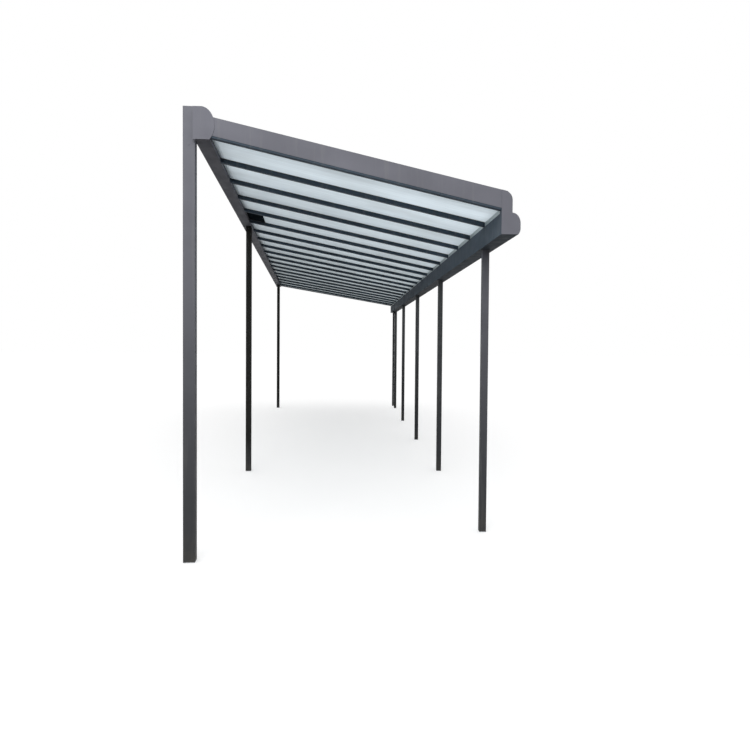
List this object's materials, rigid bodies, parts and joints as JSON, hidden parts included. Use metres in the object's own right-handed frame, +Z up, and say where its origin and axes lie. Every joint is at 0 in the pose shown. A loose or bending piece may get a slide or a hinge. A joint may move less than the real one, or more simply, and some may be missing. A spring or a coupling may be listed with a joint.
{
  "type": "lean-to driveway canopy",
  "caption": "Lean-to driveway canopy: square posts carry a round-nosed high profile and a gutter beam, with opal panels between sloping rafters and a plan that widens to the rear.",
  "frame": {"origin": "middle of the footprint's bounding box, on the paving", "axes": "+Z up, +Y along the gutter beam from the front end to the rear, +X from the high side to the gutter side"},
  "size_m": [3.27, 12.858, 3.486],
  "materials": {
    "frame_coat": "anthracite powder coat, satin",
    "rafter_coat": "anthracite powder coat, satin",
    "post_coat": "anthracite powder coat, satin",
    "pipe_coat": "anthracite coat, smooth",
    "pale_trim": "weathered light grey aluminium",
    "shoe_metal": "galvanized",
    "opal_panel": "opal ribbed plastic, translucent"
  },
  "bodies": {
    "root": {"wall_profile": "frame_coat", "wall_profile_caps": "frame_coat", "gutter_beam": "frame_coat", "gutter_caps": "frame_coat", "eaves_seat_rail": "pale_trim", "eaves_infill_strips": "pale_trim", "front_edge_rafter": "rafter_coat", "rear_edge_rafter": "frame_coat", "front_fascia": "frame_coat", "rear_fascia": "frame_coat", "blanking_sheet": "rafter_coat", "cover_strips": "frame_coat", "front_left_post": "post_coat", "corner_post_lid": "post_coat", "middle_left_post": "post_coat", "rear_left_post": "post_coat", "post_shoes": "shoe_metal", "downpipe": "pipe_coat", "downpipe_clips": "pipe_coat", "rafter_01": "rafter_coat", "rafter_02": "rafter_coat", "rafter_03": "rafter_coat", "rafter_04": "rafter_coat", "rafter_05": "rafter_coat", "rafter_06": "rafter_coat", "rafter_07": "rafter_coat", "rafter_08": "rafter_coat", "rafter_09": "rafter_coat", "rafter_10": "rafter_coat", "rafter_11": "rafter_coat", "rafter_12": "rafter_coat", "rafter_13": "rafter_coat", "rafter_14": "rafter_coat", "rafter_15": "rafter_coat", "rafter_16": "rafter_coat", "rafter_17": "rafter_coat", "rafter_18": "rafter_coat", "right_post_1": "post_coat", "right_post_2": "post_coat", "right_post_3": "post_coat", "right_post_4": "post_coat", "right_post_5": "post_coat", "roof_panels_1": "opal_panel", "roof_panels_2": "opal_panel", "roof_panels_3": "opal_panel"}
  },
  "joints": []
}
